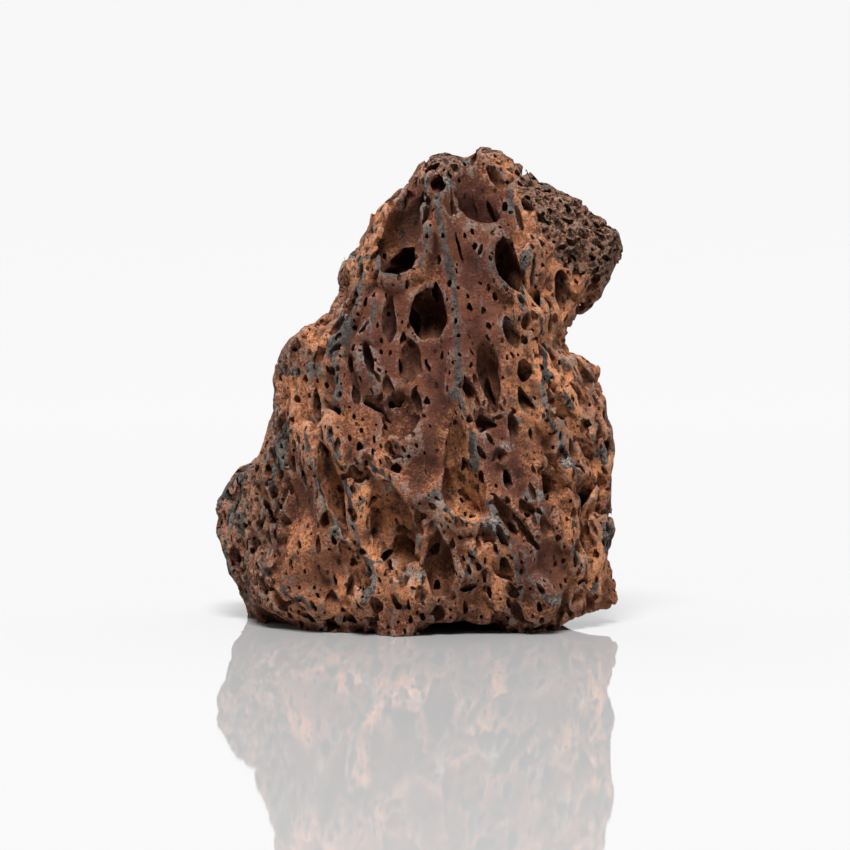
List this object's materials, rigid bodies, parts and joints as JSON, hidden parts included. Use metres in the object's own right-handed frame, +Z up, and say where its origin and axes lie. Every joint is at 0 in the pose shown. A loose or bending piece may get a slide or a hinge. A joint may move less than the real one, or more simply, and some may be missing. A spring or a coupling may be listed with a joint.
{
  "type": "lava rock",
  "caption": "Upright hand-sized lump of scoria with stretched gas hollows over its torn front face, a crusty overhanging beak and a broken flat foot to stand on.",
  "frame": {"origin": "middle of the bounding box's underside, on the surface that the stone stands on", "axes": "+Z up, the torn face with the large hollows looks towards -Y, the beak points towards +X"},
  "size_m": [0.1016, 0.0724, 0.1188],
  "materials": {
    "scoria": "dull red-brown volcanic stone, rough and full of open gas bubbles, with ochre hollows and dark grey ridges"
  },
  "bodies": {
    "root": {"lava_rock": "scoria"}
  },
  "joints": []
}
